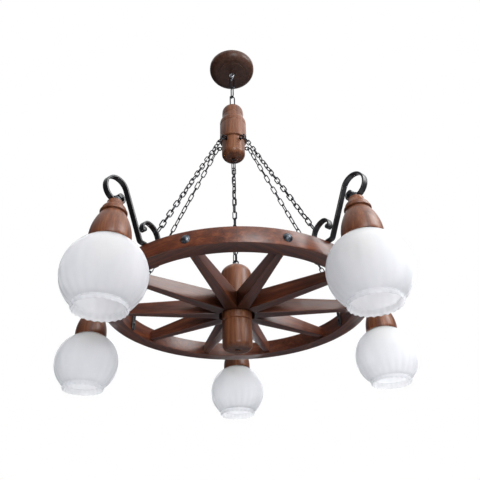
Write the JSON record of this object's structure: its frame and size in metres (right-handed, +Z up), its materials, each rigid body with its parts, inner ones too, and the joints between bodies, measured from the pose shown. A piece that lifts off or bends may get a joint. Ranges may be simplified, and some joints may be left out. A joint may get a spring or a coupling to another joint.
{
  "type": "wagon wheel chandelier",
  "caption": "Dark wooden wagon wheel chandelier hung on black chains, with opal glass globes on scrolled black iron arms",
  "frame": {"origin": "on the ceiling plane, midway between the two screw holes of the mounting strap", "axes": "+Z up, +X along the strap, away from the viewer is +Y"},
  "size_m": [0.8658, 0.8306, 0.9934],
  "materials": {
    "turned_wood": "satin",
    "black_iron": "satin",
    "zinc_steel": "satin",
    "opal_glass": "satin",
    "lampholder_plastic": "matte",
    "terminal_plastic": "matte"
  },
  "bodies": {
    "ceiling_plate": {"mounting_bracket": "zinc_steel", "ceiling_canopy": "turned_wood", "ceiling_hook": "zinc_steel", "hook_nuts": "zinc_steel", "terminal_block": "terminal_plastic"},
    "link_upper": {"top_link_upper": "black_iron"},
    "link_middle": {"top_link_middle": "black_iron"},
    "link_lower": {"top_link_lower": "black_iron"},
    "bobbin_eye": {"bobbin_top_eye": "black_iron"},
    "wheel": {"hanger_bobbin": "turned_wood", "chain_eyes": "black_iron", "centre_chain": "black_iron", "hub_barrel": "turned_wood", "hub_finial": "turned_wood", "hub_eye_bolt": "black_iron", "hub_nut": "zinc_steel", "rim": "turned_wood", "spoke_bolts": "zinc_steel", "arm_screws": "black_iron", "lamp_bolts": "zinc_steel", "suspension_chain_1": "black_iron", "suspension_chain_2": "black_iron", "suspension_chain_3": "black_iron", "suspension_chain_4": "black_iron", "suspension_chain_5": "black_iron", "spoke_1": "turned_wood", "spoke_2": "turned_wood", "spoke_3": "turned_wood", "spoke_4": "turned_wood", "spoke_5": "turned_wood", "spoke_6": "turned_wood", "spoke_7": "turned_wood", "spoke_8": "turned_wood", "spoke_9": "turned_wood", "spoke_10": "turned_wood", "arm_1": "black_iron", "arm_2": "black_iron", "arm_3": "black_iron", "arm_4": "black_iron", "arm_5": "black_iron", "cup_1": "turned_wood", "cup_2": "turned_wood", "cup_3": "turned_wood", "cup_4": "turned_wood", "cup_5": "turned_wood", "lampholder_1": "lampholder_plastic", "lampholder_2": "lampholder_plastic", "lampholder_3": "lampholder_plastic", "lampholder_4": "lampholder_plastic", "lampholder_5": "lampholder_plastic"},
    "ring_1": {"shade_ring_1": "lampholder_plastic"},
    "shade_1": {"globe_1": "opal_glass"},
    "ring_2": {"shade_ring_2": "lampholder_plastic"},
    "shade_2": {"globe_2": "opal_glass"},
    "ring_3": {"shade_ring_3": "lampholder_plastic"},
    "shade_3": {"globe_3": "opal_glass"},
    "ring_4": {"shade_ring_4": "lampholder_plastic"},
    "shade_4": {"globe_4": "opal_glass"},
    "ring_5": {"shade_ring_5": "lampholder_plastic"},
    "shade_5": {"globe_5": "opal_glass"}
  },
  "joints": [
    {"name": "hook_swing", "type": "hinge", "parent": "ceiling_plate", "child": "link_upper", "pos_m": [0, 0, -0.053], "axis": [-0.4226, 0.9063, 0], "range_deg": [-20, 20]},
    {"name": "link_upper_swing", "type": "hinge", "parent": "link_upper", "child": "link_middle", "pos_m": [0, 0, -0.0954], "axis": [0.9063, 0.4226, 0], "range_deg": [-20, 20]},
    {"name": "link_middle_swing", "type": "hinge", "parent": "link_middle", "child": "link_lower", "pos_m": [0, 0, -0.1382], "axis": [-0.4226, 0.9063, 0], "range_deg": [-20, 20]},
    {"name": "link_lower_swing", "type": "hinge", "parent": "link_lower", "child": "bobbin_eye", "pos_m": [0, 0, -0.181], "axis": [0.9063, 0.4226, 0], "range_deg": [-20, 20]},
    {"name": "bobbin_turn", "type": "hinge", "parent": "bobbin_eye", "child": "wheel", "pos_m": [0, 0, -0.1954], "axis": [0, 0, 1], "range_deg": [-45, 45]},
    {"name": "ring_1_drop", "type": "slide", "parent": "wheel", "child": "ring_1", "axis": [0, 0, -1], "range_m": [0, 0.06]},
    {"name": "globe_1_turn", "type": "hinge", "parent": "ring_1", "child": "shade_1", "pos_m": [-0.22218, -0.30581, -0.864], "axis": [0, 0, 1], "continuous": true},
    {"name": "ring_2_drop", "type": "slide", "parent": "wheel", "child": "ring_2", "axis": [0, 0, -1], "range_m": [0, 0.06]},
    {"name": "globe_2_turn", "type": "hinge", "parent": "ring_2", "child": "shade_2", "pos_m": [0.22218, -0.30581, -0.864], "axis": [0, 0, 1], "continuous": true},
    {"name": "ring_3_drop", "type": "slide", "parent": "wheel", "child": "ring_3", "axis": [0, 0, -1], "range_m": [0, 0.06]},
    {"name": "globe_3_turn", "type": "hinge", "parent": "ring_3", "child": "shade_3", "pos_m": [0.3595, 0.11681, -0.864], "axis": [0, 0, 1], "continuous": true},
    {"name": "ring_4_drop", "type": "slide", "parent": "wheel", "child": "ring_4", "axis": [0, 0, -1], "range_m": [0, 0.06]},
    {"name": "globe_4_turn", "type": "hinge", "parent": "ring_4", "child": "shade_4", "pos_m": [0, 0.378, -0.864], "axis": [0, 0, 1], "continuous": true},
    {"name": "ring_5_drop", "type": "slide", "parent": "wheel", "child": "ring_5", "axis": [0, 0, -1], "range_m": [0, 0.06]},
    {"name": "globe_5_turn", "type": "hinge", "parent": "ring_5", "child": "shade_5", "pos_m": [-0.3595, 0.11681, -0.864], "axis": [0, 0, 1], "continuous": true}
  ]
}
